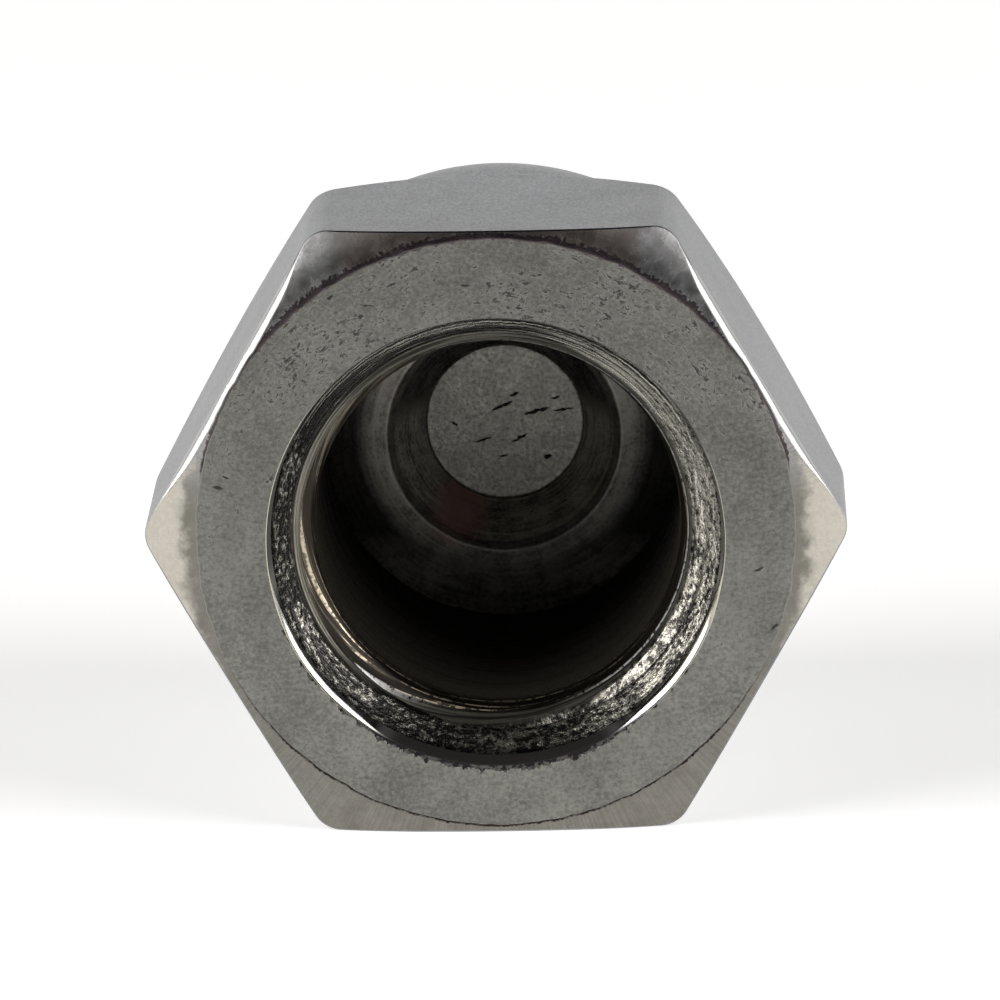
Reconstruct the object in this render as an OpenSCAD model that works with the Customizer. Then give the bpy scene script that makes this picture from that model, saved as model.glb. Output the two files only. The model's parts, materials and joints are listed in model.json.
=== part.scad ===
// Domed cap nut for a 20 mm coarse thread, one solid piece of stainless steel.
// It lies on one flat of its hexagon: the mouth faces -Y, the dome faces +Y and +Z is up.
// The origin is on the surface that it lies on, under the middle of its length.
// Lengths inside the bore follow each other from the bearing face inwards.

/* [Hexagon] */
// Width across the flats, a little under the 30 mm spanner
across_flats = 29.5; // [27:0.1:34]
// Distance from the bearing face to the end of the hexagon's back chamfer
hex_l = 15.2; // [13.5:0.1:17]
// Radius of the rounded upright corners
corner_r = 1.4; // [0.4:0.1:2.5]
// Diameter of the round bearing face
bearing_d = 28.8; // [25.5:0.1:29.3]
// Angle of the chamfer round the bearing face, from that face
front_chamfer = 18; // [10:1:32]
// Angle of the chamfer on the dome side, from the bearing face
back_chamfer = 58; // [40:1:66]

/* [Dome] */
// Overall length from bearing face to the top of the dome
overall_l = 33.5; // [32.5:0.1:40]
// Diameter of the dome and of its short neck
dome_d = 27.8; // [25:0.1:28.2]

/* [Mouth] */
// How far the whole bore sits below the middle of the hexagon
bore_drop = 0.45; // [0:0.05:0.6]
// Diameter of the mouth at the bearing face
mouth_d = 21.9; // [21:0.1:24]
// How far the polished lip closes in over its length, in radius
lip_taper = 0.15; // [0.05:0.05:0.4]
// Length of the polished lip
lip_l = 1.3; // [0.4:0.1:2]
// Length of the rough countersink behind the lip
sink_l = 1.6; // [0.8:0.1:2.4]
// Width of the smooth lead-in between countersink and thread, in radius
lead_w = 0.65; // [0.3:0.05:1]
// Length of the smooth lead-in
lead_l = 1.2; // [0.5:0.1:2]

/* [Thread] */
// Diameter at the crests of the inside thread, as the tap drill leaves it
core_d = 17.7; // [16.8:0.1:18]
// Length from the lead-in to the last turn of the thread
thread_l = 17.6; // [12:0.1:18]

/* [Relief groove] */
// Diameter at the bottom of the groove behind the thread
relief_d = 20.4; // [18.4:0.1:21.5]
// Width of the groove at its bottom
relief_w = 1; // [0.4:0.1:1.2]
// Angle of the groove's wall on the thread's side, from the nut's axis
relief_slope = 60; // [50:1:75]

/* [Pocket] */
// Diameter of the pocket just inside its rim
pocket_d = 11.1; // [8.5:0.1:13]
// Width of the rim round the pocket
rim_w = 0.3; // [0.1:0.05:0.6]
// How far the rim stands nearer to the mouth than the groove's far corner
rim_rise = 0.5; // [0:0.1:0.9]
// How far the rim falls away on its inner side
rim_fall = 0.3; // [0:0.05:0.6]
// Diameter of the flat bottom of the pocket
floor_d = 7.9; // [5:0.1:8.4]
// Depth of the pocket from its rim to its flat bottom
pocket_l = 3.4; // [1:0.1:4]

/* [Hidden] */
$fn = 96;

flats = 6;
half_turn = 180 / flats;
corner_reach = across_flats / 2 / cos(half_turn);
corner_centre = corner_reach - corner_r / cos(half_turn);
outer_r = corner_reach + 1;
dome_r = dome_d / 2;
dome_centre = overall_l - dome_r;
front_fall = (outer_r - bearing_d / 2) * tan(front_chamfer);
back_fall = (outer_r - dome_r) * tan(back_chamfer);
overcut = 1;

mouth_r = mouth_d / 2;
core_r = core_d / 2;
relief_r = relief_d / 2;
pocket_r = pocket_d / 2;
sink_end = lip_l + sink_l;
lead_end = sink_end + lead_l;
thread_end = lead_end + thread_l;
groove_start = thread_end + (relief_r - core_r) / tan(relief_slope);
groove_end = groove_start + relief_w;
rim_depth = groove_end - rim_rise;

// Rounded hexagon: a twelve-sided core whose short sides are covered by the six corner circles
module hexagon_outline() {
    polygon([for (k = [0:flats - 1]) for (side = [-1, 1])
        corner_centre * [cos(k * 2 * half_turn), sin(k * 2 * half_turn)]
        + corner_r * [cos((k * 2 + side) * half_turn), sin((k * 2 + side) * half_turn)]]);
    for (k = [0:flats - 1])
        rotate(k * 2 * half_turn) translate([corner_centre, 0]) circle(r = corner_r);
}

// Turned envelope that takes the corners off at both ends of the hexagon
module turned_envelope() {
    rotate_extrude() polygon([
        [0, 0],
        [bearing_d / 2, 0],
        [outer_r, front_fall],
        [outer_r, hex_l - back_fall],
        [dome_r, hex_l],
        [0, hex_l]
    ]);
}

module chamfered_hexagon() {
    intersection() {
        linear_extrude(hex_l) hexagon_outline();
        turned_envelope();
    }
}

// The dome with its short neck, which starts inside the hexagon
module dome() {
    translate([0, 0, hex_l / 2]) cylinder(h = dome_centre - hex_l / 2, r = dome_r);
    translate([0, 0, dome_centre]) sphere(r = dome_r);
}

// Everything that is cut into the nut from its open end, as one turned shape
module stepped_bore() {
    translate([0, bore_drop, 0]) rotate_extrude() polygon([
        [0, -overcut],
        [mouth_r, -overcut],
        [mouth_r, 0],
        [mouth_r - lip_taper, lip_l],
        [core_r + lead_w, sink_end],
        [core_r, lead_end],
        [core_r, thread_end],
        [relief_r, groove_start],
        [relief_r, groove_end],
        [pocket_r + rim_w, rim_depth],
        [pocket_r, rim_depth + rim_fall],
        [floor_d / 2, rim_depth + pocket_l],
        [0, rim_depth + pocket_l]
    ]);
}

// The nut stands on its bearing face here, dome up, and is then laid on a flat
module cap_nut() {
    color([0.62, 0.61, 0.58])
        translate([0, -overall_l / 2, across_flats / 2]) rotate([-90, 0, 0])
            difference() {
                union() {
                    chamfered_hexagon();
                    dome();
                }
                stepped_bore();
            }
}

cap_nut();
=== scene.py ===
import json
import math

import bpy
import numpy as np
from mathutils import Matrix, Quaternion, Vector


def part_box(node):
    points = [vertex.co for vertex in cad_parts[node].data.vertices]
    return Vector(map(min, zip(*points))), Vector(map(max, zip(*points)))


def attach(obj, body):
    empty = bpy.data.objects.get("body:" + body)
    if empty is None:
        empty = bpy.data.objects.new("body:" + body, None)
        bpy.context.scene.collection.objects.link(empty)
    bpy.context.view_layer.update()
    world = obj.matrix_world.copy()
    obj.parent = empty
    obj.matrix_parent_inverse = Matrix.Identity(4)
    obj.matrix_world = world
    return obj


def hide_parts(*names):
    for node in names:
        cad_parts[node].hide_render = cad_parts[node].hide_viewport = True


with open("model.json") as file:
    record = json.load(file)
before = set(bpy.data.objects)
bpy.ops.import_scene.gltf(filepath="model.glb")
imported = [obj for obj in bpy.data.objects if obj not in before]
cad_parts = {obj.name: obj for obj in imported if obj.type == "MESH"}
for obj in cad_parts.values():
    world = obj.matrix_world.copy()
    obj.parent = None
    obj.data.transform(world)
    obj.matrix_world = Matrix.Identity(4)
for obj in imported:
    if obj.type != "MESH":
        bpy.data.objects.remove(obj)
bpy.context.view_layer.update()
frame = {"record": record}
mm = 0.001  # every size below is in millimetres, and becomes metres when its mesh is made

nutLow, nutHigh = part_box("cap_nut")
threadMount = next(m for m in frame["record"]["mounts"] if m["name"] == "thread")
nutTop = nutHigh.z / mm
hexCentreZ = (nutLow.z + nutHigh.z) / 2 / mm
boreCentreZ = threadMount["pos_m"][2] / mm
faceY = nutLow.y / mm  # plane of the bearing face; depths run from it towards the dome

# Camera and studio

camera = {
    "aim": (0.25, faceY, 16.41),
    "distance": 457.8,
    "azimuth": 1.26,  # degrees, 0 looks along +Y
    "elevation": 13.22,
    "roll": 1.09,
    "lens": 345.3,
    "sensor": 36,
}

# A tuple of four is a ramp: it starts and ends at the first two, with the values of the last two
studio = {
    "floorRadius": 3000,
    "floorColour": (0.84, 0.84, 0.84),
    "floorGlow": (20, 260, 0.44, 0.50),  # brings the lit paper up to white, near the part and further off
    "lampAzimuths": (-66, 64),
    "lampElevation": 27,
    "lampDistance": 800,
    "lampWidth": 640,
    "lampHeight": 560,
    "lampWatts": (5.2, 4.8),
    "lampColours": ((1.0, 0.985, 0.95), (1.0, 0.985, 0.955)),
    "backdropReach": (0.1, 0.65),
    "backdropTop": (0.3, 0.55, 1.0, 0.0),
    "backdropLight": (0.0, 1.0, 0.04, 0.94),
    "frontLight": (-0.1, 0.2, 0.32, 0.0),  # a soft light high up at either side of the camera
    "frontAside": (0.12, 0.3),
    "frontHeights": ((0.24, 0.42), (0.6, 0.85, 1.0, 0.0)),
}


def directionOf(azimuth, elevation):
    # Unit vector towards a place on the sphere round the part; azimuth 0 is in front, at -Y
    a, e = math.radians(azimuth), math.radians(elevation)
    return Vector((math.sin(a) * math.cos(e), -math.cos(a) * math.cos(e), math.sin(e)))


def makeCamera():
    data = bpy.data.cameras.new("photoCamera")
    data.lens = camera["lens"]
    data.sensor_width = camera["sensor"]
    viewer = bpy.data.objects.new("photoCamera", data)
    bpy.context.scene.collection.objects.link(viewer)
    back = directionOf(camera["azimuth"], camera["elevation"])
    viewer.location = Vector(camera["aim"]) * mm + back * camera["distance"] * mm
    level = (-back).to_track_quat("-Z", "Y")
    viewer.rotation_mode = "QUATERNION"
    viewer.rotation_quaternion = level @ Quaternion((0, 0, 1), -math.radians(camera["roll"]))
    bpy.context.scene.camera = viewer


def makeLamps():
    aim = Vector((0, 0, hexCentreZ * mm))
    for side, azimuth, watts, colour in zip(
        ("left", "right"), studio["lampAzimuths"], studio["lampWatts"], studio["lampColours"]
    ):
        data = bpy.data.lights.new(side + "Softbox", "AREA")
        data.shape = "RECTANGLE"
        data.size = studio["lampWidth"] * mm
        data.size_y = studio["lampHeight"] * mm
        data.energy = watts
        data.color = colour
        lamp = bpy.data.objects.new(side + "Softbox", data)
        bpy.context.scene.collection.objects.link(lamp)
        out = directionOf(azimuth, studio["lampElevation"])
        lamp.location = aim + out * studio["lampDistance"] * mm
        lamp.rotation_mode = "QUATERNION"
        lamp.rotation_quaternion = (-out).to_track_quat("-Z", "Y")


def addNode(tree, kind, settings=None, inputs=None):
    # One node with its settings; an input is given a value, or a socket to be linked from
    node = tree.nodes.new(kind)
    for key, value in (settings or {}).items():
        setattr(node, key, value)
    for key, value in (inputs or {}).items():
        if isinstance(value, bpy.types.NodeSocket):
            tree.links.new(value, node.inputs[key])
        else:
            node.inputs[key].default_value = value
    return node


def mathNode(tree, operation, first, second=0.0, clamp=False, third=0.0):
    inputs = {0: first, 1: second, 2: third}
    return addNode(tree, "ShaderNodeMath", {"operation": operation, "use_clamp": clamp}, inputs).outputs[0]


def product(tree, first, *others):
    for other in others:
        first = mathNode(tree, "MULTIPLY", first, other)
    return first


def largest(tree, first, *others):
    for other in others:
        first = mathNode(tree, "MAXIMUM", first, other)
    return first


def weighted(tree, shares, *values):
    # Sum of values, each times its own share
    total, *parts = [mathNode(tree, "MULTIPLY", value, share) for value, share in zip(values, shares)]
    for part in parts:
        total = mathNode(tree, "ADD", total, part)
    return total


def ramp(tree, value, limits):
    # Value between the first two limits, carried smoothly to the last two, or to 0 and 1 without them
    low, high, start, end = (*limits, 0.0, 1.0)[:4]
    inputs = {"Value": value, "From Min": low, "From Max": high, "To Min": start, "To Max": end}
    return addNode(tree, "ShaderNodeMapRange", {"interpolation_type": "SMOOTHSTEP"}, inputs).outputs[0]


def zone(tree, value, limits, origin=0.0):
    # The same for a length, with its first two limits in millimetres from an origin
    low, high, *ends = limits
    return ramp(tree, value, ((origin + low) * mm, (origin + high) * mm, *ends))


def vectorNode(tree, operation, first, second=(0, 0, 0)):
    node = addNode(tree, "ShaderNodeVectorMath", {"operation": operation}, {0: first, 1: second})
    return node.outputs["Value" if operation in ("LENGTH", "DISTANCE") else "Vector"]


def scaled(tree, vector, amount):
    node = addNode(tree, "ShaderNodeVectorMath", {"operation": "SCALE"}, {0: vector, "Scale": amount})
    return node.outputs[0]


def partsOf(tree, vector):
    return addNode(tree, "ShaderNodeSeparateXYZ", None, {"Vector": vector}).outputs


def mixColour(tree, share, first, second):
    return addNode(tree, "ShaderNodeMix", {"data_type": "RGBA"}, {0: share, 6: first, 7: second}).outputs[2]


def mixValue(tree, share, first, second):
    return addNode(tree, "ShaderNodeMix", None, {0: share, 2: first, 3: second}).outputs[0]


def makeWorld():
    # Sky by direction: pale behind the part, a soft light high in front, dark between them and overhead
    world = bpy.data.worlds.new("studioRoom")
    bpy.context.scene.world = world
    world.use_nodes = True
    tree = world.node_tree
    tree.nodes.clear()
    direction = partsOf(tree, addNode(tree, "ShaderNodeTexCoord").outputs["Generated"])
    behind = ramp(tree, direction["Y"], studio["backdropReach"])
    backdrop = product(tree, behind, ramp(tree, direction["Z"], studio["backdropTop"]))
    front = ramp(tree, direction["Y"], studio["frontLight"])
    aside = ramp(tree, mathNode(tree, "ABSOLUTE", direction["X"]), studio["frontAside"])
    high = product(tree, *[ramp(tree, direction["Z"], limits) for limits in studio["frontHeights"]])
    backLight = ramp(tree, backdrop, studio["backdropLight"])
    strength = mathNode(tree, "ADD", backLight, product(tree, front, aside, high))
    background = addNode(tree, "ShaderNodeBackground", None, {"Color": (1, 1, 1, 1), "Strength": strength})
    addNode(tree, "ShaderNodeOutputWorld", None, {"Surface": background.outputs[0]})


def makeFloor():
    # Pale paper that the camera and reflections see lit up to white, and that keeps the part's shadow
    data = bpy.data.meshes.new("floor")
    reach = studio["floorRadius"] * mm
    corners = [(-reach, -reach, 0), (reach, -reach, 0), (reach, reach, 0), (-reach, reach, 0)]
    data.from_pydata(corners, [], [(0, 1, 2, 3)])
    floor = bpy.data.objects.new("floor", data)
    bpy.context.scene.collection.objects.link(floor)
    paper = bpy.data.materials.new("paleFloor")
    paper.use_nodes = True
    tree = paper.node_tree
    shader = tree.nodes["Principled BSDF"]
    shader.inputs["Base Color"].default_value = (*studio["floorColour"], 1)
    shader.inputs["Roughness"].default_value = 1
    shader.inputs["Specular IOR Level"].default_value = 0
    shader.inputs["Emission Color"].default_value = (1, 1, 1, 1)
    rays = addNode(tree, "ShaderNodeLightPath").outputs
    seen = mathNode(tree, "ADD", rays["Is Camera Ray"], rays["Is Glossy Ray"])
    seen = mathNode(tree, "ADD", seen, rays["Is Transmission Ray"], True)
    away = vectorNode(tree, "LENGTH", addNode(tree, "ShaderNodeTexCoord").outputs["Object"])
    glow = zone(tree, away, studio["floorGlow"])
    tree.links.new(product(tree, seen, glow), shader.inputs["Emission Strength"])
    data.materials.append(paper)


makeCamera()
makeLamps()
makeWorld()
makeFloor()
print("camera, lamps and floor are in place")

# The nut's form

outer = {
    "flatRadius": (nutHigh.z - nutLow.z) / 2 / mm,
    "length": (nutHigh.y - nutLow.y) / mm,
    "cornerRadius": 1.4,
    "hexLength": 15.2,
    "backSlope": 58,
    "domeRadius": 13.9,
    "faceRadius": 14.4,
    "chamferStart": 9,  # degrees from the bearing face, beside it
    "chamferCurve": 0.075,  # how fast that slope grows outwards, per millimetre
    "frontEdge": (0.1, 0.52),  # radius along the top and the lower flats, and along the two upper side flats
    "frontFullness": 0.7,
    "frontReach": 0.9,
    "wideFrom": (1.4, 4.0),  # heights above the hexagon's middle between which that edge widens
    "wideUntil": (0.6, 3.0),  # distances from the top flat between which it narrows again
    "edgeShare": (0.7, 0.2),  # of the chamfer that an edge may take, and what a wide one may take besides
    "faceEdge": 0.5,
    "faceEdgeShare": 0.25,
    "backEdge": 0.35,
    "neckEdge": 0.3,
    "faceTear": 0.018,  # raggedness of the bearing face's outline
    "tearLengths": (1.6, 0.8),
}

bore = {
    "mouthRadius": 10.95,
    "lipEndRadius": 10.8,
    "lipLength": 1.3,
    "lipEdge": (0.05, 0.36),  # radius of the lip's outer edge, and where it is rubbed to a bevel
    "lipFullness": 0.5,
    "lipDips": (6, 24, 46, 62),  # degrees below either side between which it is rubbed
    "lipBulge": 0.32,  # how far the rubbed lip is pressed inwards
    "rightBulge": 0.12,  # how much further at the right, and less at the left
    "sinkEnd": 2.9,
    "sinkEndRadius": 9.5,
    "leadEnd": 4.1,
    "coreRadius": threadMount["dims"]["r_mm"],
    "threadEnd": 4.1 + threadMount["dims"]["length_mm"],
    "pitch": 2.5,
    "rootRadius": 10.08,
    "flankFoot": 0.3,  # how far inside the core hole the thread's flanks would meet its crests
    "crestHalf": 0.172,  # half widths of crest and root, as shares of the pitch
    "rootHalf": 0.04,
    "crestDepth": 0.964,  # depth of a crest at the right-hand side, less whole turns
    "blend": 0.07,
    "grooveRadius": 10.2,
    "grooveStart": 22.48,
    "grooveEnd": 23.48,
    "grooveCorner": 0.7,
    "rimOuter": 5.85,
    "rimInner": 5.55,
    "rimDepth": 22.98,
    "rimFall": 0.3,
    "rimEdge": 0.2,
    "floorRadius": 3.95,
    "floorDepth": 26.38,
    "floorEdge": 0.12,
    "sinkTear": 0.03,
    "tearFade": (0.3, 0.4),  # lengths over which the torn part starts and ends
    "tornEnd": 2.5,  # the countersink is torn down to here and smooth behind it
    "ridgeDepth": 3.38,
}

grid = {
    "columns": 312,
    "cornerCrowding": 0.55,
    "rows": {"dome": 33, "neck": 3, "back": 4, "flat": 7, "chamfer": 8, "face": 26, "lip": 5,
             "groove": 2, "shoulder": 10, "pocket": 8, "floor": 14},
    "arcs": {"neck": 4, "back": 5, "front": 8, "face": 3, "lip": 6, "groove": 6, "rimOuter": 4, "rimInner": 3,
             "floor": 3},
    "rowMargin": 0.06,
    "neckMargin": 0.8,
    "threadPhases": (0, 0.1, 0.16, 0.2, 0.28, 0.36, 0.43, 0.47, 0.53, 0.57, 0.64, 0.72, 0.8, 0.84, 0.9),
    "threadTurns": (-1, 9),
    "sliver": 0.04,
    "insideTravel": 60,  # where the distance along the profile starts again behind the thread
    "seed": 11,
}

columnShare = np.arange(grid["columns"]) / grid["columns"]
roundAngle = -2 * np.pi * columnShare  # clockwise as seen from the mouth, as the thread turns in
hexAngle = roundAngle - grid["cornerCrowding"] * np.sin(6 * roundAngle) / 6  # crowded at the corners


def eased(share):
    # From 0 to 1 with a level start and end: three squares less two cubes
    share = np.clip(share, 0, 1)
    return share * share * (3 - 2 * share)


def waves(points, wavelength, seed, count=28):
    # Smooth noise of unit size: the sum of sine waves of one length in random directions
    dice = np.random.default_rng(seed)
    heading = dice.normal(size=(count, 3))
    heading *= (2 * np.pi / wavelength / np.linalg.norm(heading, axis=1))[:, None]
    start = dice.uniform(0, 2 * np.pi, count)
    return np.sin(points @ heading.T + start).sum(-1) / math.sqrt(count / 2)


def hexagonRadius(angle):
    # Inside a corner's arc the reach of the corner's circle, elsewhere the flat's distance over a cosine
    half = math.radians(30)
    fromCorner = np.abs((angle + half) % (2 * half) - half)
    flat, corner = outer["flatRadius"], outer["cornerRadius"]
    centre = (flat - corner) / math.cos(half)
    arcEnd = math.atan2(corner * math.sin(half), centre + corner * math.cos(half))
    onFlat = flat / np.cos(half - fromCorner)
    inside = np.maximum(corner ** 2 - (centre * np.sin(fromCorner)) ** 2, 0)
    onArc = centre * np.cos(fromCorner) + np.sqrt(inside)
    return np.where(fromCorner < arcEnd, onArc, onFlat)


def station(radius, depth):
    # One corner of the profile for every column
    return np.stack(np.broadcast_arrays(radius, depth, columnShare)[:2], -1).astype(float)


def spanRows(start, end, count, margin=grid["rowMargin"]):
    # Straight rows between two corners, the first and last of them a fixed margin from the ends
    length = np.linalg.norm(end - start, axis=-1)
    edge = np.minimum(margin / np.maximum(length, 1e-9), 0.3)
    share = edge + (1 - 2 * edge) * np.linspace(0, 1, count)[:, None]
    return start + (end - start) * share[..., None]


def arcRows(before, corner, after, radius, count, reach=0.45, fullness=1.0):
    # Rounds a corner: a conic with the cosine of half the turn as its weight is a true circular arc,
    # and a smaller weight flattens it towards a bevel
    inLength = np.linalg.norm(corner - before, axis=-1, keepdims=True)
    outLength = np.linalg.norm(after - corner, axis=-1, keepdims=True)
    inward, outward = (corner - before) / inLength, (after - corner) / outLength
    cosTurn = np.clip((inward * outward).sum(-1, keepdims=True), -1, 1)
    halfTurn = np.arccos(cosTurn) / 2
    tangent = np.minimum(radius * np.tan(halfTurn), reach * np.minimum(inLength, outLength))
    start, end, weight = corner - inward * tangent, corner + outward * tangent, fullness * np.cos(halfTurn)
    s = np.linspace(0, 1, count)[:, None, None]
    top = (1 - s) ** 2 * start + 2 * s * (1 - s) * weight * corner + s ** 2 * end
    return top / ((1 - s) ** 2 + 2 * s * (1 - s) * weight + s ** 2)


def chamferDepth(radius):
    # The front chamfer is a shallow bowl: its depth grows with the square of the distance from the face
    out = radius - outer["faceRadius"]
    return out * math.tan(math.radians(outer["chamferStart"])) + outer["chamferCurve"] * out ** 2


def raggedFace():
    # Radius of the bearing face's outline, roughened by waves of two lengths
    rim = outer["faceRadius"] * np.stack([np.cos(hexAngle), np.sin(hexAngle), 0 * hexAngle], -1)
    tears = [waves(rim, length, grid["seed"] + k) for k, length in enumerate(outer["tearLengths"])]
    return outer["faceRadius"] + outer["faceTear"] * (tears[0] + tears[1])


def rubbedShare():
    # 1 where the lip is rubbed, at either side below the middle, a little more at the right
    dip = np.degrees(np.arcsin(-np.sin(roundAngle)))[:, None]
    rubbed = eased(np.interp(dip, bore["lipDips"], (0, 1, 1, 0)))
    return rubbed * (1 + bore["rightBulge"] * np.cos(roundAngle)[:, None])


def outsideRows():
    # Profile of the outside from the dome's top to the end of the polished lip, as (rows, finish, edge) parts:
    # a quarter circle turned on the axis, then straight and rounded stretches that follow the hexagon's radius
    rows, arcs = grid["rows"], grid["arcs"]
    dome, neckDepth = outer["domeRadius"], outer["length"] - outer["domeRadius"]
    polar = np.linspace(0, math.pi / 2, rows["dome"] + 1)[1:, None]
    domeCurve = np.broadcast_arrays(dome * np.sin(polar), neckDepth + dome * np.cos(polar), columnShare)[:2]
    hexRadius, face, rubbed = hexagonRadius(hexAngle), raggedFace(), rubbedShare()
    backDepth = outer["hexLength"] - (hexRadius - dome) * math.tan(math.radians(outer["backSlope"]))
    neckTop = station(dome, neckDepth)
    neckFoot = station(dome, outer["hexLength"])
    backCorner = station(hexRadius, backDepth)
    frontCorner = station(hexRadius, chamferDepth(hexRadius))

    rise = hexRadius * np.sin(hexAngle)
    fromTop = outer["flatRadius"] - rise
    (low, lowEnd), (top, topEnd) = outer["wideFrom"], outer["wideUntil"]
    sideFlat = eased((rise - low) / (lowEnd - low)) * eased((fromTop - top) / (topEnd - top))
    least, extra = outer["edgeShare"]
    inward = hexRadius - (least + extra * sideFlat) * (hexRadius - face)
    onChamfer = station(inward, chamferDepth(inward))
    faceCorner = station(face, 0)
    outward = face + outer["faceEdgeShare"] * (hexRadius - face)
    besideFace = station(outward, chamferDepth(outward))
    mouth = station(bore["mouthRadius"] - bore["lipBulge"] * rubbed[:, 0], 0)
    lipEnd = station(bore["lipEndRadius"], bore["lipLength"])

    neckArc = arcRows(neckTop, neckFoot, backCorner, outer["neckEdge"], arcs["neck"])
    backArc = arcRows(neckFoot, backCorner, frontCorner, outer["backEdge"], arcs["back"])
    fine, wide = outer["frontEdge"]
    edgeRadius = fine + (wide - fine) * sideFlat[:, None]
    reach, fullness = outer["frontReach"], outer["frontFullness"]
    frontArc = arcRows(backCorner, frontCorner, onChamfer, edgeRadius, arcs["front"], reach, fullness)
    faceArc = arcRows(besideFace, faceCorner, mouth, outer["faceEdge"], arcs["face"])
    fine, wide = bore["lipEdge"]
    lipRadius = fine + (wide - fine) * rubbed
    lipArc = arcRows(faceCorner, mouth, lipEnd, lipRadius, arcs["lip"], fullness=bore["lipFullness"])

    # Chamfer rows lie between the two arcs, lowered by what the bowl sags under a straight line there
    share = np.linspace(0, 1, rows["chamfer"] + 2)[1:-1, None]
    first, last = frontArc[-1], faceArc[0]
    radius, straight = [first[:, k] + (last[:, k] - first[:, k]) * share for k in (0, 1)]
    ends = chamferDepth(first[:, 0]), chamferDepth(last[:, 0])
    sag = chamferDepth(radius) - (ends[0] + (ends[1] - ends[0]) * share)
    return [
        (np.stack(domeCurve, -1), "outside", 0),
        (spanRows(neckTop, neckArc[0], rows["neck"], grid["neckMargin"]), "outside", 0),
        (neckArc, "outside", 0),
        (spanRows(neckArc[-1], backArc[0], rows["back"]), "outside", 0),
        (backArc, "outside", 1),
        (spanRows(backArc[-1], frontArc[0], rows["flat"]), "outside", 0),
        (frontArc, "outside", 1),
        (np.stack([radius, straight + sag], -1), "chamfer", 0),
        (faceArc, "chamfer", 0),
        (spanRows(faceArc[-1], lipArc[0], rows["face"]), "face", 0),
        (lipArc, "lip", 0),
        (spanRows(lipArc[-1], lipEnd, rows["lip"]), "lip", 0),
    ]


def insideRows():
    # Profile behind the thread, from the bottom of the relief groove to the middle of the pocket's floor
    rows, arcs = grid["rows"], grid["arcs"]
    grooveStart = station(bore["grooveRadius"], bore["grooveStart"])
    grooveEnd = station(bore["grooveRadius"], bore["grooveEnd"])
    rimOuter = station(bore["rimOuter"], bore["rimDepth"])
    rimInner = station(bore["rimInner"], bore["rimDepth"] + bore["rimFall"])
    floorRim = station(bore["floorRadius"], bore["floorDepth"])
    floorMiddle = station(0, bore["floorDepth"])
    grooveArc = arcRows(grooveStart, grooveEnd, rimOuter, bore["grooveCorner"], arcs["groove"])
    outerArc = arcRows(grooveEnd, rimOuter, rimInner, bore["rimEdge"], arcs["rimOuter"])
    innerArc = arcRows(rimOuter, rimInner, floorRim, bore["rimEdge"], arcs["rimInner"])
    floorArc = arcRows(rimInner, floorRim, floorMiddle, bore["floorEdge"], arcs["floor"])
    floorShare = np.linspace(1, 0, rows["floor"] + 2)[1:-1, None, None]
    return [
        (spanRows(grooveStart, grooveArc[0], rows["groove"]), "pocket", 0),
        (grooveArc, "pocket", 0),
        (spanRows(grooveArc[-1], outerArc[0], rows["shoulder"]), "pocket", 0),
        (outerArc, "pocket", 1),
        (innerArc, "pocket", 1),
        (spanRows(innerArc[-1], floorArc[0], rows["pocket"]), "pocket", 0),
        (floorArc, "floor", 0),
        (floorMiddle + (floorArc[-1] - floorMiddle) * floorShare, "floor", 0),
    ]


def threadedRadius(depth, phase):
    # The larger of the stepped bore and the thread's own section, joined by a small radius where they cross
    knots = [bore[key] for key in ("lipLength", "sinkEnd", "leadEnd", "threadEnd", "grooveStart")]
    core = bore["coreRadius"]
    radii = [bore["lipEndRadius"], bore["sinkEndRadius"], core, core, bore["grooveRadius"]]
    plain = np.interp(depth, knots, radii)
    fromRoot = np.abs(phase % 1 - 0.5)
    crestEdge = 0.5 - bore["crestHalf"]
    cut = np.clip((crestEdge - fromRoot) / (crestEdge - bore["rootHalf"]), 0, 1)
    foot = core - bore["flankFoot"]
    thread = foot + (bore["rootRadius"] - core + bore["flankFoot"]) * cut
    gap = plain - thread
    return (plain + thread + np.sqrt(gap ** 2 + bore["blend"] ** 2)) / 2 - bore["blend"] / 2


finishNames = ["outside", "chamfer", "face", "lip", "bore", "pocket", "floor"]


def joinedRows(parts):
    # All rows of a profile, with each row's finish, and 1 in the middle of the edges that are worn and carry
    # painted sheen and shade
    finish = np.concatenate([np.full(len(rows), finishNames.index(name)) for rows, name, worn in parts])
    edge = np.concatenate([
        worn * np.sin(np.linspace(0.15, math.pi - 0.15, len(rows))) for rows, name, worn in parts
    ])
    return np.concatenate([rows for rows, name, worn in parts]), finish, edge


def placed(rows, toBore):
    # Radius and depth of every row turned round its axis, from the hexagon's axis and spacing to the bore's
    share = np.broadcast_to(np.asarray(toBore, float), rows.shape[:-1])
    turn = hexAngle + (roundAngle - hexAngle) * share
    middle = hexCentreZ + (boreCentreZ - hexCentreZ) * share
    radius, depth = rows[..., 0], rows[..., 1]
    return np.stack([radius * np.cos(turn), faceY + depth, middle + radius * np.sin(turn)], -1)


def bands(index):
    # One quad between each pair of neighbouring rows and columns, facing outwards
    corners = [index[:-1, :-1], index[1:, :-1], index[1:, 1:], index[:-1, 1:]]
    return np.stack([c.ravel() for c in corners], -1)


def travel(rows):
    # Distance along the profile, summed row by row over the mean of all columns
    return np.concatenate([[0], np.cumsum(np.linalg.norm(np.diff(rows.mean(1), axis=0), axis=1))])


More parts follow.
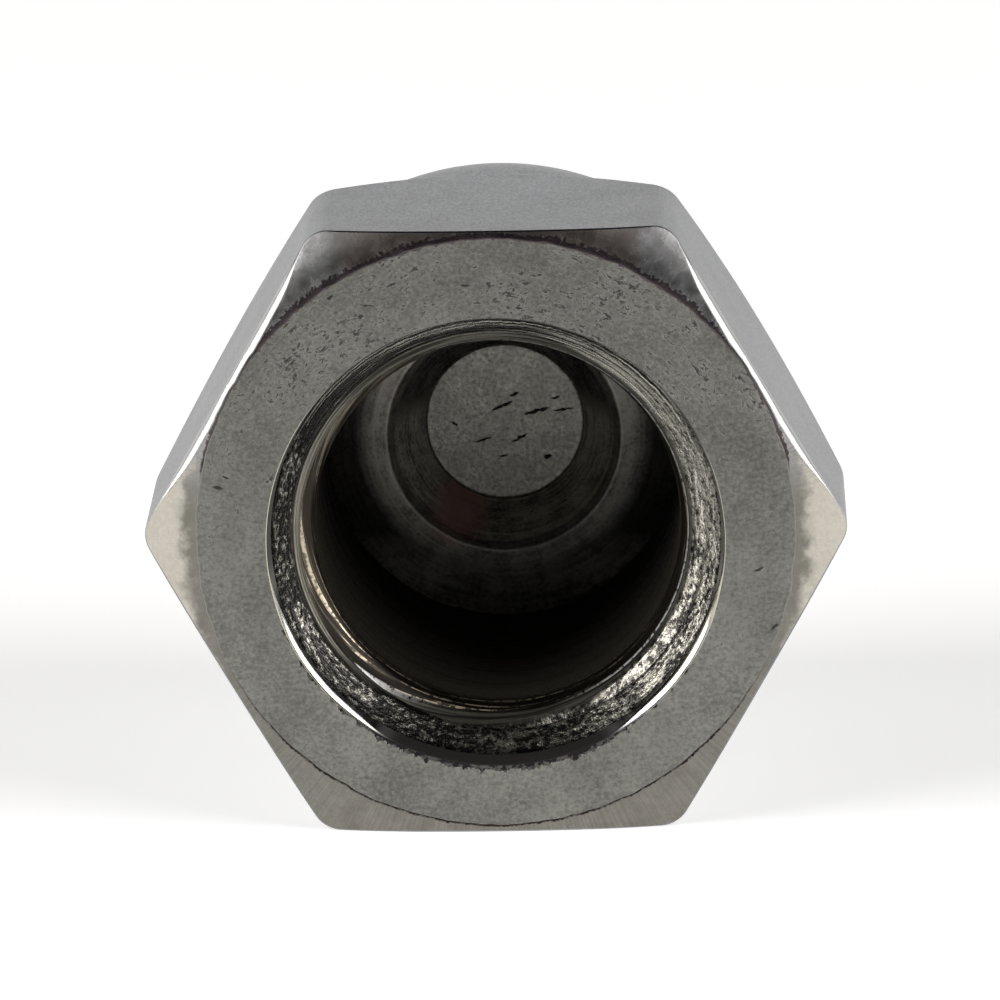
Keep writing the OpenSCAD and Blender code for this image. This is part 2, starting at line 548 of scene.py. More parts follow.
def nutMesh():
    # One closed skin: outside rows, helical rows of the thread, inside rows, and a point at either pole.
    # A thread row gains one pitch in a turn, so its end meets the start of the row one turn further on,
    # and where a row would leave the threaded stretch it shares the points of the plain row there.
    count, faceFinishIndex = grid["columns"], finishNames.index("face")
    outRows, outFinish, outEdge = joinedRows(
        outsideRows() + [(station(bore["lipEndRadius"], bore["lipLength"])[None], "lip", 0)]
    )
    inRows, inFinish, inEdge = joinedRows(
        [(station(bore["grooveRadius"], bore["grooveStart"])[None], "pocket", 0)] + insideRows()
    )
    faceRows = np.flatnonzero(outFinish == faceFinishIndex)
    toBore = eased((np.arange(len(outRows)) - faceRows[0] + 1) / (len(faceRows) + 1))

    turns = np.arange(*grid["threadTurns"])
    phases = (turns[:, None] + np.array(grid["threadPhases"])[None]).ravel()
    perTurn = len(grid["threadPhases"])
    depth = bore["crestDepth"] + bore["pitch"] * (phases[:, None] + columnShare[None])
    above = depth < bore["lipLength"] + grid["sliver"]
    below = depth > bore["grooveStart"] - grid["sliver"]
    own = ~(above | below)
    dice = np.random.default_rng(grid["seed"])
    tearStart, tearStop = bore["tearFade"]
    torn = np.clip((bore["tornEnd"] - depth) / tearStop, 0, 1)
    torn = torn * np.clip((depth - bore["lipLength"]) / tearStart, 0, 1)
    threadRadius = threadedRadius(depth, phases[:, None] + 0 * columnShare)
    threadRadius = threadRadius + bore["sinkTear"] * torn * dice.uniform(-1, 1, depth.shape)
    threadPoints = placed(np.stack([threadRadius, depth], -1), 1)

    outPoints, inPoints = placed(outRows, toBore[:, None]), placed(inRows, 1)
    domeTop = [[0, faceY + outer["length"], hexCentreZ]]
    floorMiddle = [[0, faceY + bore["floorDepth"], boreCentreZ]]
    points = np.concatenate([
        outPoints.reshape(-1, 3), threadPoints[own], inPoints.reshape(-1, 3), domeTop, floorMiddle,
    ])
    outIndex = np.arange(len(outRows) * count).reshape(-1, count)
    threadStart = outIndex.size
    inStart = threadStart + int(own.sum())
    inIndex = inStart + np.arange(len(inRows) * count).reshape(-1, count)
    threadIndex = np.zeros(depth.shape, int)
    threadIndex[own] = threadStart + np.arange(int(own.sum()))
    threadIndex = np.where(above, outIndex[-1], np.where(below, inIndex[0], threadIndex))

    outFaces, inFaces = [bands(np.concatenate([index, index[:, :1]], 1)) for index in (outIndex, inIndex)]
    closing = np.concatenate([threadIndex[perTurn:, :1], np.full((perTurn, 1), inIndex[0, 0])])
    threadFaces = bands(np.concatenate([threadIndex, closing], 1))
    leftSame = threadFaces[:, 0] == threadFaces[:, 1]
    rightSame = threadFaces[:, 3] == threadFaces[:, 2]
    threadQuads = threadFaces[~leftSame & ~rightSame]
    threadTriangles = np.concatenate([
        threadFaces[leftSame & ~rightSame][:, [0, 2, 3]],
        threadFaces[~leftSame & rightSame][:, [0, 1, 3]],
    ])
    top, bottom = len(points) - 2, len(points) - 1
    firstRow, lastRow = outIndex[0], inIndex[-1]
    domeFan = np.stack([np.full(count, top), firstRow, np.roll(firstRow, -1)], -1)
    floorFan = np.stack([np.full(count, bottom), np.roll(lastRow, -1), lastRow], -1)
    bandFinish = np.maximum(outFinish[1:], outFinish[:-1])
    bandFinish[faceRows[-1]] = faceFinishIndex
    finish = np.concatenate([
        np.repeat(bandFinish, count),
        np.full(len(threadQuads), finishNames.index("bore")),
        np.repeat(np.maximum(inFinish[1:], inFinish[:-1]), count),
        np.full(len(threadTriangles), finishNames.index("bore")),
        np.full(count, finishNames.index("outside")),
        np.full(count, finishNames.index("floor")),
    ])
    quads = np.concatenate([outFaces, threadQuads, inFaces])
    triangles = np.concatenate([threadTriangles, domeFan, floorFan])

    outTravel, inTravel = travel(outRows), travel(inRows) + grid["insideTravel"]
    along = np.concatenate([
        np.repeat(outTravel, count), outTravel[-1] + (depth[own] - bore["lipLength"]),
        np.repeat(inTravel, count), [0, inTravel[-1]],
    ])
    edge = np.concatenate([
        np.repeat(outEdge, count), np.zeros(int(own.sum())), np.repeat(inEdge, count), [0, 0],
    ])
    faceSpan = outTravel[faceRows[0] - 1], outTravel[faceRows[-1] + 1]
    return points, quads, triangles, finish, along, edge, faceSpan


def flatMesh(name, points, quads, triangles):
    # Fills a mesh straight from arrays of points, quads and triangles
    data = bpy.data.meshes.new(name)
    data.vertices.add(len(points))
    data.vertices.foreach_set("co", (points * mm).astype(np.float32).ravel())
    corners = np.concatenate([quads.ravel(), triangles.ravel()])
    sides = np.concatenate([np.full(len(quads), 4), np.full(len(triangles), 3)])
    data.loops.add(len(corners))
    data.loops.foreach_set("vertex_index", corners.astype(np.int32))
    data.polygons.add(len(sides))
    data.polygons.foreach_set("loop_start", (np.cumsum(sides) - sides).astype(np.int32))
    data.polygons.foreach_set("loop_total", sides.astype(np.int32))
    data.update(calc_edges=True)
    data.validate()
    data.polygons.foreach_set("use_smooth", np.ones(len(sides), bool))
    return data


def storeValues(data, name, values):
    layer = data.attributes.new(name, "FLOAT", "POINT")
    layer.data.foreach_set("value", np.asarray(values, np.float32))


# Finishes of the steel. Effects that several finishes share are node groups.
# In their dictionaries a pair or a tuple of four is a ramp, for a noise, or for a place in millimetres

noiseSpread = (0.3, 0.7)  # most values of a noise lie between these


def noise(tree, vector, scale, detail, roughness, distortion=0.0):
    inputs = {"Vector": vector, "Scale": scale, "Detail": detail, "Roughness": roughness}
    return addNode(tree, "ShaderNodeTexNoise", None, {**inputs, "Distortion": distortion}).outputs[0]


def lineNoise(tree, value, scale, detail, roughness):
    inputs = {"W": value, "Scale": scale, "Detail": detail, "Roughness": roughness}
    return addNode(tree, "ShaderNodeTexNoise", {"noise_dimensions": "1D"}, inputs).outputs[0]


def stored(tree, name):
    # A value that the mesh keeps at every point
    return addNode(tree, "ShaderNodeAttribute", {"attribute_name": name}).outputs["Fac"]


def newGroup(name, inputs, outputs):
    # A group with one vector, some numbers with their usual values, and outputs that are numbers
    tree = bpy.data.node_groups.new(name, "ShaderNodeTree")
    tree.interface.new_socket(name="Vector", in_out="INPUT", socket_type="NodeSocketVector")
    for socket, value in inputs.items():
        made = tree.interface.new_socket(name=socket, in_out="INPUT", socket_type="NodeSocketFloat")
        made.default_value = value
    for socket in outputs:
        tree.interface.new_socket(name=socket, in_out="OUTPUT", socket_type="NodeSocketFloat")
    return tree, tree.nodes.new("NodeGroupInput").outputs, tree.nodes.new("NodeGroupOutput").inputs


def makeGrainGroup():
    # Cloud is soft mottling and Grain is the fine tooth of a blasted or pickled surface
    scales = {"Cloud Scale": 400, "Grain Scale": 9000}
    tree, given, out = newGroup("steelGrain", scales, ["Cloud", "Grain"])
    tree.links.new(noise(tree, given["Vector"], given["Cloud Scale"], 3, 0.6), out["Cloud"])
    tree.links.new(noise(tree, given["Vector"], given["Grain Scale"], 2, 0.6), out["Grain"])
    return tree


def makeStreakGroup():
    # Tool marks that run round the axis: noise stretched along X and Z and fine along the profile
    scales = {"Round Scale": 300, "Cross Scale": 6000}
    tree, given, out = newGroup("turningStreaks", scales, ["Height"])
    parts = partsOf(tree, given["Vector"])
    spot = addNode(tree, "ShaderNodeCombineXYZ", None, {
        "X": product(tree, parts["X"], given["Round Scale"]),
        "Y": product(tree, stored(tree, "along"), given["Cross Scale"]),
        "Z": product(tree, parts["Z"], given["Round Scale"]),
    })
    tree.links.new(noise(tree, spot.outputs[0], 1, 3, 0.65), out["Height"])
    return tree


grainGroup, streakGroup = makeGrainGroup(), makeStreakGroup()


def grainAt(tree, place, scales):
    inputs = {"Vector": place, "Cloud Scale": scales[0], "Grain Scale": scales[1]}
    made = addNode(tree, "ShaderNodeGroup", {"node_tree": grainGroup}, inputs).outputs
    return made["Cloud"], made["Grain"]


def streaksAt(tree, place, scales):
    inputs = {"Vector": place, "Round Scale": scales[0], "Cross Scale": scales[1]}
    return addNode(tree, "ShaderNodeGroup", {"node_tree": streakGroup}, inputs).outputs["Height"]


def depthAt(tree, parts, start=0.0):
    # Distance behind the bearing face, or behind a plane that lies deeper
    return mathNode(tree, "SUBTRACT", parts["Y"], (faceY + start) * mm)


def fromAxis(tree, place, centreZ):
    # Distance from the hexagon's axis or the bore's
    flat = vectorNode(tree, "MULTIPLY", place, (1, 0, 1))
    return vectorNode(tree, "DISTANCE", flat, (0, 0, centreZ * mm))


def within(tree, reach, distance, softness):
    # 1 where a distance is less than the reach, 0 beyond it, with an edge of some softness in millimetres
    return mathNode(tree, "DIVIDE", mathNode(tree, "SUBTRACT", reach, distance), softness * mm, True)


def dentMask(tree, place, dents, depth, wander):
    # Marks as soft ellipses on a flat face; noise shakes their outlines, and the strongest of them counts.
    # Each is given by its middle beside and above the bore's axis, length, width and degrees of rise
    shake = addNode(tree, "ShaderNodeTexNoise", None, {"Vector": place, "Scale": 4200, "Detail": 2})
    moved = scaled(tree, vectorNode(tree, "SUBTRACT", shake.outputs["Color"], (0.5, 0.5, 0.5)), wander * mm)
    spot = vectorNode(tree, "ADD", place, moved)
    masks = []
    for x, z, length, width, rise in dents:
        own = addNode(tree, "ShaderNodeMapping", {"vector_type": "TEXTURE"}, {
            "Vector": spot, "Location": (x * mm, depth * mm, (boreCentreZ + z) * mm),
            "Rotation": (0, math.radians(-rise), 0), "Scale": (length / 2 * mm, 1, width / 2 * mm),
        }).outputs[0]
        masks.append(ramp(tree, vectorNode(tree, "LENGTH", own), (0.55, 1.15, 1.0, 0.0)))
    return largest(tree, 0.0, *masks)


def startSteel(name, metallic=1.0, specular=0.5):
    # A fresh material, and Object coordinates ready to use
    material = bpy.data.materials.new(name)
    material.use_nodes = True
    shader = material.node_tree.nodes["Principled BSDF"]
    shader.inputs["Metallic"].default_value = metallic
    shader.inputs["Specular IOR Level"].default_value = specular
    place = addNode(material.node_tree, "ShaderNodeTexCoord").outputs["Object"]
    return material, material.node_tree, place


def finished(material, colour, roughness, bumps, metallic=None):
    # Links the results to the shader; bumps form a chain, coarse first, of (height, depth, strength)
    tree = material.node_tree
    shader = tree.nodes["Principled BSDF"]
    tree.links.new(colour, shader.inputs["Base Color"])
    tree.links.new(roughness, shader.inputs["Roughness"])
    if metallic is not None:
        tree.links.new(metallic, shader.inputs["Metallic"])
    normal = None
    for height, depth, strength in bumps:
        inputs = {"Height": height, "Distance": depth * mm, "Strength": strength}
        if normal is not None:
            inputs["Normal"] = normal
        normal = addNode(tree, "ShaderNodeBump", None, inputs).outputs[0]
    tree.links.new(normal, shader.inputs["Normal"])
    return material


outsideFinish = {
    "colour": (0.327, 0.330, 0.340, 1),
    "shade": 0.86,  # how dark the darker clouds are
    # worn edge colour, kept to the upper sides as a painted sheen
    "worn": (0.70, 0.695, 0.68, 1),
    # painted shade on the rounded front edge under the top flat
    "dark": (0.05, 0.045, 0.05, 1),
    "grain": (260, 7500),
    "sheenHeights": (-2, 2),  # from the hexagon's middle
    "sheenTop": (-2.6, -1.2, 1.0, 0.0),  # from the top
    "darkTop": (-0.7, -0.2),
    "darkDepth": (1, 2, 1.0, 0.0),
    "darkReach": (7.2, 8, 1.0, 0.0),
    "darkShare": (0.1, 0.4),
    "sideReach": (8, 9),
    "sideEnd": (-2, 0, 1.0, 0.0),  # from the hexagon's far end
    # painted shade: the side flats are darker than the top flat
    "paintedSideShade": (0.0, 1.0, 1.0, 0.79),
    "rough": (*noiseSpread, 0.30, 0.44),
    "edgeRough": 0.3,
}


def outsideSteel():
    look = outsideFinish
    material, tree, place = startSteel("flatSteel")
    cloud, grain = grainAt(tree, place, look["grain"])
    edge, parts = stored(tree, "edge"), partsOf(tree, place)
    across = mathNode(tree, "ABSOLUTE", parts["X"])
    # Painted shade: the rounded front edge under the top flat, near its middle, is made dark
    topFront = product(
        tree, edge, zone(tree, parts["Z"], look["darkTop"], nutTop),
        zone(tree, parts["Y"], look["darkDepth"], faceY), zone(tree, across, look["darkReach"]),
    )
    # Worn edges with a painted sheen, only from a little below the hexagon's middle to a little below the top
    edge = product(
        tree, edge, zone(tree, parts["Z"], look["sheenHeights"], hexCentreZ),
        zone(tree, parts["Z"], look["sheenTop"], nutTop),
    )
    shaded = (*(look["shade"] * c for c in look["colour"][:3]), 1)
    base = mixColour(tree, ramp(tree, cloud, noiseSpread), shaded, look["colour"])
    onHexagon = zone(tree, parts["Y"], look["sideEnd"], faceY + outer["hexLength"])
    onSides = product(tree, zone(tree, across, look["sideReach"]), onHexagon)
    # Painted shade: the side flats of the hexagon are made darker
    base = scaled(tree, base, ramp(tree, onSides, look["paintedSideShade"]))
    base = mixColour(tree, edge, base, look["worn"])
    base = mixColour(tree, ramp(tree, topFront, look["darkShare"]), base, look["dark"])
    rough = mixValue(tree, edge, ramp(tree, grain, look["rough"]), look["edgeRough"])
    return finished(material, base, rough, [(cloud, 0.05, 0.25), (grain, 0.006, 0.6)])


chamferFinish = {
    "side": (0.53, 0.50, 0.44, 1),  # painted highlight: bright at the two corners that stand out sideways
    # the lower chamfers are darker than the upper ones, a painted shade
    "upper": (0.46, 0.455, 0.46, 1),
    "shadedLower": (0.222, 0.213, 0.19, 1),
    "seam": (0.024, 0.019, 0.018, 1),  # black crease beside the bearing face, widened as painted shade in the upper half
    "seamAbove": (0.10, 0.083, 0.088, 1),
    "wedge": (0.36, 0.315, 0.29, 1),  # browner between the upper corners
    "mottle": ((0.88, 0.875, 0.87, 1), (0.98, 0.98, 0.98, 1)),
    "grain": (900, 5200),
    "heights": (1, 6),
    "sideReach": (12.6, 16),
    "sideBand": (1.05, 1.85),  # width of the dull band beside the face at the side corners
    "wanders": (2.5, 1.7, 1.0),  # how far clouds move the borders of the side, the band and the wedge
    "lineScale": 95,
    "lines": (0.35, 0.65, 0.91, 1.05),
    "lineHeights": (-8, -5, 1.0, 0.0),
    "tooth": (0.35, 0.65, 0.92, 1.05),
    "wedgeReach": (7.0, 8.2, 1.0, 0.0),
    "seamDepth": (0.0, 1.0, 0.018 * mm, 0.07 * mm),  # how deep it reaches, in the lower and the upper half, where its width is painted shade
    "seamNarrow": (9.5, 12.5, 1.0, 0.5),
    "seamTeeth": ((*noiseSpread, 0.55, 1.3), (0.35, 0.6, 0.65, 1.1)),
    "seamOffSide": (0.0, 0.6, 1.0, 0.0),
    "seamHeights": (2.4, 3.8),
    "seamSoftness": 0.012,
    "rough": (*noiseSpread, 0.2, 0.3),
}


def chamferSteel():
    look = chamferFinish
    material, tree, place = startSteel("chamferSteel")
    cloud, grain = grainAt(tree, place, look["grain"])
    parts = partsOf(tree, place)
    across = mathNode(tree, "ABSOLUTE", parts["X"])
    sideWander, bandWander, wedgeWander = [product(tree, cloud, reach * mm) for reach in look["wanders"]]
    side = zone(tree, mathNode(tree, "ADD", across, sideWander), look["sideReach"])
    height = zone(tree, parts["Z"], look["heights"], hexCentreZ)
    # Painted shade: darker below the hexagon's middle, lighter above it
    base = mixColour(tree, height, look["shadedLower"], look["upper"])
    mottled = mixColour(tree, ramp(tree, cloud, noiseSpread), *look["mottle"])
    multiply = {"data_type": "RGBA", "blend_type": "MULTIPLY"}
    base = addNode(tree, "ShaderNodeMix", multiply, {0: 1.0, 6: base, 7: mottled}).outputs[2]

    # Fine lines that run outwards, seen on the lower chamfers only
    turn = mathNode(tree, "ARCTAN2", mathNode(tree, "SUBTRACT", parts["Z"], hexCentreZ * mm), parts["X"])
    lines = lineNoise(tree, turn, look["lineScale"], 2, 0.5)
    lined = mathNode(tree, "SUBTRACT", ramp(tree, lines, look["lines"]), 1.0)
    low = zone(tree, parts["Z"], look["lineHeights"], hexCentreZ)
    base = scaled(tree, base, mathNode(tree, "MULTIPLY_ADD", low, lined, third=1.0))
    away = mathNode(tree, "ADD", fromAxis(tree, place, hexCentreZ), bandWander)
    band = zone(tree, away, look["sideBand"], outer["faceRadius"])
    # Painted highlight: the side corners are bright beyond a dull band beside the face
    base = mixColour(tree, product(tree, side, band), base, look["side"])
    tooth = weighted(tree, (0.5, 0.5), cloud, grain)
    base = scaled(tree, base, ramp(tree, tooth, look["tooth"]))
    wedge = zone(tree, mathNode(tree, "ADD", across, wedgeWander), look["wedgeReach"])
    base = mixColour(tree, product(tree, wedge, height), base, look["wedge"])

    # Black crease beside the face, reaching further as painted shade in the upper half
    sharpTeeth, softTeeth = [ramp(tree, *pair) for pair in zip((grain, cloud), look["seamTeeth"])]
    offSide = largest(
        tree, ramp(tree, side, look["seamOffSide"]), zone(tree, parts["Z"], look["seamHeights"], hexCentreZ)
    )
    reach = product(
        tree, ramp(tree, height, look["seamDepth"]), zone(tree, across, look["seamNarrow"]),
        sharpTeeth, softTeeth, offSide,
    )
    seam = within(tree, reach, depthAt(tree, parts), look["seamSoftness"])
    base = mixColour(tree, seam, base, mixColour(tree, height, look["seam"], look["seamAbove"]))
    rough = ramp(tree, cloud, look["rough"])
    return finished(material, base, rough, [(lines, 0.01, 0.4), (cloud, 0.014, 0.2), (grain, 0.006, 0.6)])


faceFinish = {
    "colour": (0.262, 0.258, 0.236, 1),
    "dull": (0.138, 0.134, 0.122, 1),
    "pit": (0.026, 0.021, 0.024, 1),
    # painted highlight on the rims of the pits and along the outline at the sides
    "paintedHighlight": (0.36, 0.355, 0.33, 1),
    "grain": (450, 5200),
    "tearGrain": (1500, 4200),
    "streaks": (250, 5000),
    "pitScales": (20, 3900),  # round the bore, and across the face
    "fleckScale": (2600, 3400, 4700),
    "fleckTilt": -25,
    "crowdAbove": (-4, 9, 0.0, 0.12),
    "crowdClouds": (0.36, 0.64, -0.03, 0.06),
    "pits": (0.70, 0.80),
    "pitRims": ((0.665, 0.70), (0.71, 0.74, 0.32, 0.0)),
    "flecks": (0.70, 0.82),
    "markStrength": (0.74, 0.72, 0.8),  # of pits, flecks and dents
    "dentWander": 0.16,
    "chips": 0.11,
    "chipHeights": (1, 7, 0.08, 1.0),
    "chipTears": (0.47, 0.66),
    "chipSoftness": 0.03,
    "tearShares": (0.6, 0.4),
    "fringe": (0.04, 0.2),  # width of the burr round the mouth, at its sides and at the bottom
    "fringeHeights": (-10.2, -7.8),
    "fringeLeft": (2, 7.5, 1.0, 0.0),
    "teeth": (0.2, 0.3),
    "teethTears": (0.42, 0.68),
    "burrHeights": (-5, -1, 1.0, 0.0),
    "burrSoftness": 0.07,
    "burrPatches": (0.48, 0.6, 1.0, 0.6),
    "mottleShares": (0.25, 0.35, 0.4),
    "mottle": (0.36, 0.62),
    # painted shade: darker towards the top, lighter towards the bottom
    "tone": (-9, 9, 1.06, 0.86),
    "patchScale": 280,
    "patches": (0.35, 0.65, 0.93, 1.07),
    "rimReach": (12.8, 13.6),
    "rimLine": (0.02, 0.07, 0.55, 0.0),
    "rough": (*noiseSpread, 0.38, 0.52),
}
faceDents = (
    (-13.2, 2.9, 0.6, 0.2, -3), (-12.85, 3.4, 0.4, 0.11, -12), (12.6, -1.45, 0.5, 0.17, 24),
    (13.3, -4.3, 0.5, 0.16, 35), (-1.2, 12.6, 0.5, 0.13, 0), (-6.2, 11.15, 0.35, 0.22, 20),
    (-7.65, 12.1, 0.35, 0.22, 30), (-5.9, 11.7, 0.8, 0.08, -6),
)


def faceSteel(span):
    # The face carries pits all over, chips along its outline and burrs round the mouth
    look = faceFinish
    material, tree, place = startSteel("facedSteel")
    cloud, grain = grainAt(tree, place, look["grain"])
    tearCloud, tearGrain = grainAt(tree, place, look["tearGrain"])
    tears = weighted(tree, look["tearShares"], tearCloud, tearGrain)
    streaks, along = streaksAt(tree, place, look["streaks"]), stored(tree, "along")
    fromRim = mathNode(tree, "SUBTRACT", along, span[0] * mm)
    fromMouth = mathNode(tree, "SUBTRACT", span[1] * mm, along)
    height = partsOf(tree, place)["Z"]
    parts = partsOf(tree, vectorNode(tree, "SUBTRACT", place, (0, 0, boreCentreZ * mm)))

    # Pits, the finer flecks between them, and single dents
    roundScale, crossScale = look["pitScales"]
    fromTop = mathNode(tree, "ARCTAN2", parts["X"], parts["Z"])
    spread = addNode(tree, "ShaderNodeCombineXYZ", None, {
        "X": product(tree, fromTop, roundScale), "Y": product(tree, along, crossScale),
    }).outputs[0]
    coarse = noise(tree, spread, 1, 4, 0.72, 0.4)
    fleck = addNode(tree, "ShaderNodeMapping", None, {
        "Vector": place, "Rotation": (0, math.radians(look["fleckTilt"]), 0), "Scale": look["fleckScale"],
    }).outputs[0]
    fine = noise(tree, fleck, 1, 3, 0.75)
    crowdAbove = zone(tree, height, look["crowdAbove"], hexCentreZ)
    crowd = mathNode(tree, "ADD", crowdAbove, ramp(tree, cloud, look["crowdClouds"]))
    crowded = mathNode(tree, "ADD", coarse, crowd)
    # Painted highlight: a bright ring round each pit
    rims = product(tree, *[ramp(tree, crowded, limits) for limits in look["pitRims"]])
    kinds = [
        ramp(tree, crowded, look["pits"]),
        ramp(tree, mathNode(tree, "ADD", fine, crowd), look["flecks"]),
        dentMask(tree, place, faceDents, faceY, look["dentWander"]),
    ]
    marks = largest(tree, *[product(tree, kind, share) for kind, share in zip(kinds, look["markStrength"])])

    # Chips along the outline, and the torn burr round the lower half of the mouth
    chip = product(
        tree, ramp(tree, tears, look["chipTears"]), look["chips"] * mm,
        zone(tree, height, look["chipHeights"], hexCentreZ),
    )
    chips = within(tree, chip, fromRim, look["chipSoftness"])
    comb = lineNoise(tree, mathNode(tree, "ARCTAN2", parts["Z"], parts["X"]), 15, 3, 0.65)
    thin, wide = look["fringe"]
    fringe = zone(tree, height, (*look["fringeHeights"], wide, thin), boreCentreZ)
    leftward = zone(tree, parts["X"], look["fringeLeft"])
    fringe = product(tree, fringe, largest(tree, leftward, ramp(tree, fringe, (thin, wide))))
    toothed = ramp(tree, weighted(tree, (0.5, 0.5), comb, tears), look["teethTears"])
    tooth = product(tree, toothed, ramp(tree, fringe, (thin, wide, *look["teeth"])))
    lowerHalf = zone(tree, height, look["burrHeights"], boreCentreZ)
    burr = product(tree, mathNode(tree, "ADD", fringe, tooth), lowerHalf, mm)
    burrs = within(tree, burr, fromMouth, look["burrSoftness"])
    marks = largest(tree, marks, product(tree, burrs, ramp(tree, tearGrain, look["burrPatches"])))

    mottle = ramp(tree, weighted(tree, look["mottleShares"], cloud, fine, grain), look["mottle"])
    base = mixColour(tree, mottle, look["dull"], look["colour"])
    patches = ramp(tree, noise(tree, place, look["patchScale"], 3, 0.6), look["patches"])
    # Painted shade: the face is darker towards the top and lighter towards the bottom
    base = scaled(tree, base, product(tree, zone(tree, height, look["tone"], hexCentreZ), patches))
    # Painted highlight: a bright line along the face's outline at the sides
    sideways = zone(tree, mathNode(tree, "ABSOLUTE", parts["X"]), look["rimReach"])
    rimLine = product(tree, sideways, zone(tree, fromRim, look["rimLine"]))
    base = mixColour(tree, largest(tree, rims, rimLine), base, look["paintedHighlight"])
    base = mixColour(tree, chips, base, chamferFinish["seamAbove"])
    base = mixColour(tree, marks, base, look["pit"])
    deep = mathNode(tree, "SUBTRACT", 1.0, marks)
    bumps = [(streaks, 0.01, 0.3), (coarse, 0.03, 0.35), (grain, 0.01, 0.5), (deep, 0.05, 0.8)]
    return finished(material, base, ramp(tree, grain, look["rough"]), bumps)


lipFinish = {
    "rubbed": (0.66, 0.66, 0.68, 1),
    # painted highlight along the lip's edge
    "line": (0.6, 0.57, 0.47, 1),
    # painted shade: the lip away from its rubbed sides
    "dull": (0.10, 0.097, 0.09, 1),
    # painted shade at the bottom of the lip
    "below": (0.025, 0.022, 0.022, 1),
    "streaks": (350, 9000),
    "rubbedDrop": (0.05, 0.45),  # drops below the bore's axis, as shares of the mouth's radius
    "bottomDrop": (0.75, 0.92, 1.0, 0.0),
    "belowDrop": (0.8, 0.9),
    "lines": (  # depths, places beside the axis and drops of the painted highlight line at the left and at the right
        ((0.03, 0.06, 1.0, 0.0), (-7, -3, 1.0, 0.0), (-0.8, -0.4)),
        ((0.3, 0.6, 0.8, 0.0), (7, 9), (-0.5, -0.25)),
    ),
    "rough": (0.35, 0.65, 0.14, 0.28),
    "dullRough": (0.0, 0.7, 0.45, 0.0),
    "metallic": (0.0, 0.6, 0.15, 1.0),
    "specular": 0.1,
}


def lipSteel():
    look = lipFinish
    material, tree, place = startSteel("polishedLip", specular=look["specular"])
    streaks, parts = streaksAt(tree, place, look["streaks"]), partsOf(tree, place)
    below = mathNode(tree, "SUBTRACT", boreCentreZ * mm, parts["Z"])
    drop = mathNode(tree, "DIVIDE", below, bore["mouthRadius"] * mm)
    depth = depthAt(tree, parts)
    rubbed = product(tree, ramp(tree, drop, look["rubbedDrop"]), ramp(tree, drop, look["bottomDrop"]))
    # Painted shade: away from its rubbed sides the lip is dull and dark
    base = mixColour(tree, rubbed, look["dull"], look["rubbed"])
    # Painted highlight: a thin bright line along the lip's edge at the left, and a wider one at the right
    lines = [
        product(tree, zone(tree, depth, depths), zone(tree, parts["X"], sides), ramp(tree, drop, drops))
        for depths, sides, drops in look["lines"]
    ]
    line = product(tree, largest(tree, *lines), ramp(tree, drop, look["bottomDrop"]))
    base = mixColour(tree, line, base, look["line"])
    # Painted shade: darker still at the bottom of the lip
    base = mixColour(tree, ramp(tree, drop, look["belowDrop"]), base, look["below"])
    polished = largest(tree, rubbed, line)
    rough = mathNode(tree, "ADD", ramp(tree, streaks, look["rough"]), ramp(tree, polished, look["dullRough"]))
    return finished(material, base, rough, [(streaks, 0.012, 0.5)], ramp(tree, polished, look["metallic"]))


boreFinish = {
    "sink": (0.82, 0.79, 0.70, 1),
    "sinkDark": (0.05, 0.047, 0.045, 1),
    "smooth": (0.66, 0.635, 0.54, 1),
    "smoothDark": (0.12, 0.112, 0.098, 1),
    "lead": (0.18, 0.16, 0.125, 1),
    "leadDark": (0.03, 0.024, 0.018, 1),
    # painted highlight on the edge where the smooth band ends
    "ridge": (0.85, 0.84, 0.84, 1),
    # painted glints in the lead-in
    "glint": (0.6, 0.5, 0.38, 1),
    # painted shade deep inside the thread
    "deep": (0.036, 0.031, 0.025, 1),
    "metallic": 0.8,
    "grain": (3800, 9000),
    "streaks": (650, 3800),
    "rings": (90, 7500),
    "rightSide": (1, 6),
    "lowest": (-9.3, -7.5, 1.0, 0.0),
    "further": 0.62,  # how much further the torn part reaches at the right and at the bottom
    "sinkEnd": (-0.2, 0.05, 1.0, 0.0),
    "smoothEnd": (-0.05, 0.02, 1.0, 0.0),
    "fade": (4.0, 5.6),
    "upper": (3, 8.5),
    "tornShares": (0.55, 0.45),
    "rightward": (-9, 9, -0.058, 0.01),  # painted highlight: more bright specks towards the right, and higher up at the right
    "upperLess": 0.03,
    "rightUp": ((0, 7), (-4, 4), 0.05),
    "specks": (0.43, 0.6),
    "entry": (0, 0.45, 0.4, 1.0),
    # painted shade: darker towards the bottom
    "below": (-10, -4, 0.2, 1.0),
    "speckBelow": (0.2, 1.0, 1.5, 1.0),
    "smoothBelow": (0.2, 1.0, 0.5, 1.0),
    "smoothRings": (0.43, 0.56),
    "smoothRight": (0, 5, 1.0, 0.26),
    "leadRings": (0.49, 0.62),
    "leadBelow": (-8, -2, 0.35, 1.0),
    "glintRings": (0.55, 0.6),
    "glintDepth": (4.2, 4.6, 1.0, 0.0),
    "glintHeights": (1, 4, 1.0, 0.0),
    "glintClouds": (0.4, 0.55),
    "ridgeWidth": (0.04, 0.08, 1.0, 0.0),
    "ridgeHeights": (-9, -7),
    "ridgeClouds": (0.36, 0.48),
    "rough": (*noiseSpread, 0.2, 0.34),
    "smoothRough": (0.0, 1.0, 0.14, 0.3),
    "deepRough": (0.5, 0.12),
}


